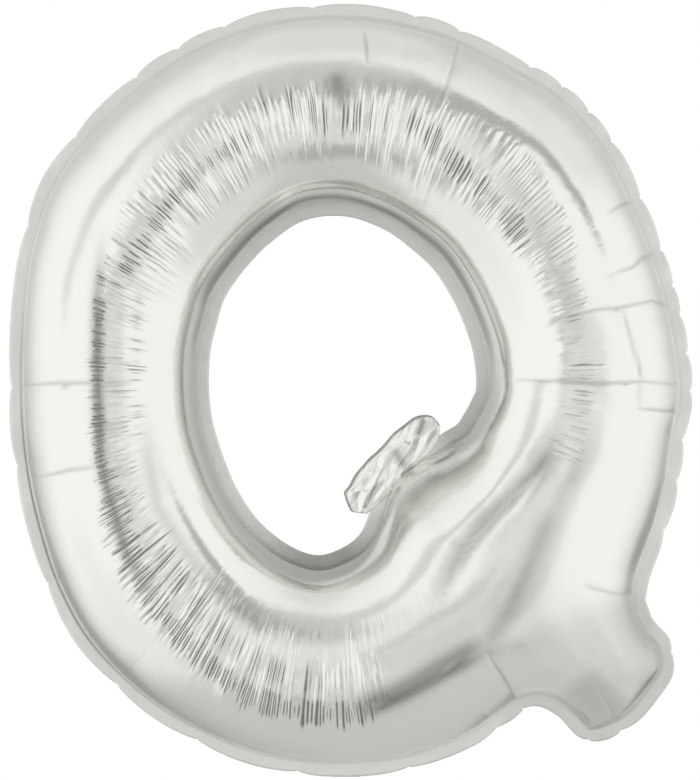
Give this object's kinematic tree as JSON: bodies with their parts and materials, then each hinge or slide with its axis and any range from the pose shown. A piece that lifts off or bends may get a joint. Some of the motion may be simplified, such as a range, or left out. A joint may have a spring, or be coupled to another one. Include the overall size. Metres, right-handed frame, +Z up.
{
  "type": "letter foil balloon",
  "caption": "Capital letter Q as an inflated foil balloon: two welded film halves, flat hems, a crinkled tail tip in the hole and a fold-up filling neck.",
  "frame": {"origin": "middle of the letter's ring, in the plane where the two film halves are welded together", "axes": "+Z up the letter, +X to the right as the letter is read, and the readable front faces -Y"},
  "size_m": [0.842, 0.226, 0.9529],
  "materials": {
    "film": "bright metallised film, inflated and finely wrinkled",
    "welded_hem": "metallised film welded flat, satin",
    "valve_liner": "thin clear film"
  },
  "bodies": {
    "envelope": {"front_panel": "film", "back_panel": "film", "outer_hem": "welded_hem", "hole_hem": "welded_hem", "tail_tip": "film"},
    "neck": {"neck_front_film": "film", "neck_back_film": "film", "valve_liner": "valve_liner"}
  },
  "joints": [
    {"name": "neck_fold", "type": "hinge", "parent": "envelope", "child": "neck", "pos_m": [0, 0, -0.4835], "axis": [-1, 0, 0], "range_deg": [0, 228]}
  ]
}
